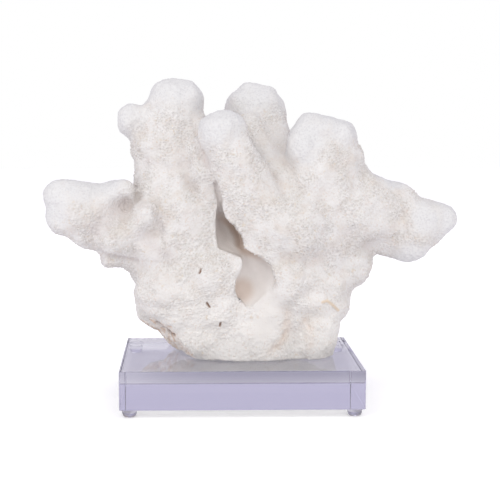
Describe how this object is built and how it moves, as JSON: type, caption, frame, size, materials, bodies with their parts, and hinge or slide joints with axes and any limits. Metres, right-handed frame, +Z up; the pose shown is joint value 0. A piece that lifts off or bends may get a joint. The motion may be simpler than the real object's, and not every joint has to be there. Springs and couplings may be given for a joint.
{
  "type": "branching coral",
  "caption": "White branching coral with thick lobed branches, cut flat at its foot and standing on a clear acrylic display block with domed clear rubber feet.",
  "frame": {"origin": "on the table, under the middle of the whole object's box", "axes": "+X along the coral's width, to the right as seen from the front; +Y away from the front; +Z up"},
  "size_m": [0.3528, 0.15, 0.2753],
  "materials": {
    "coral_skeleton": "matte, granular, with small cup-shaped pores; bleached warm white",
    "clear_acrylic": "polished clear, with a faint lavender tint",
    "clear_rubber": "smooth, clear, slightly frosted"
  },
  "bodies": {
    "root": {"coral_base": "coral_skeleton", "left_stem": "coral_skeleton", "right_stem": "coral_skeleton", "left_arm": "coral_skeleton", "upper_left_branch": "coral_skeleton", "front_branch": "coral_skeleton", "back_branch": "coral_skeleton", "upper_right_branch": "coral_skeleton", "right_arm": "coral_skeleton", "acrylic_block": "clear_acrylic", "foot_front_left": "clear_rubber", "foot_front_right": "clear_rubber", "foot_back_left": "clear_rubber", "foot_back_right": "clear_rubber"}
  },
  "joints": []
}
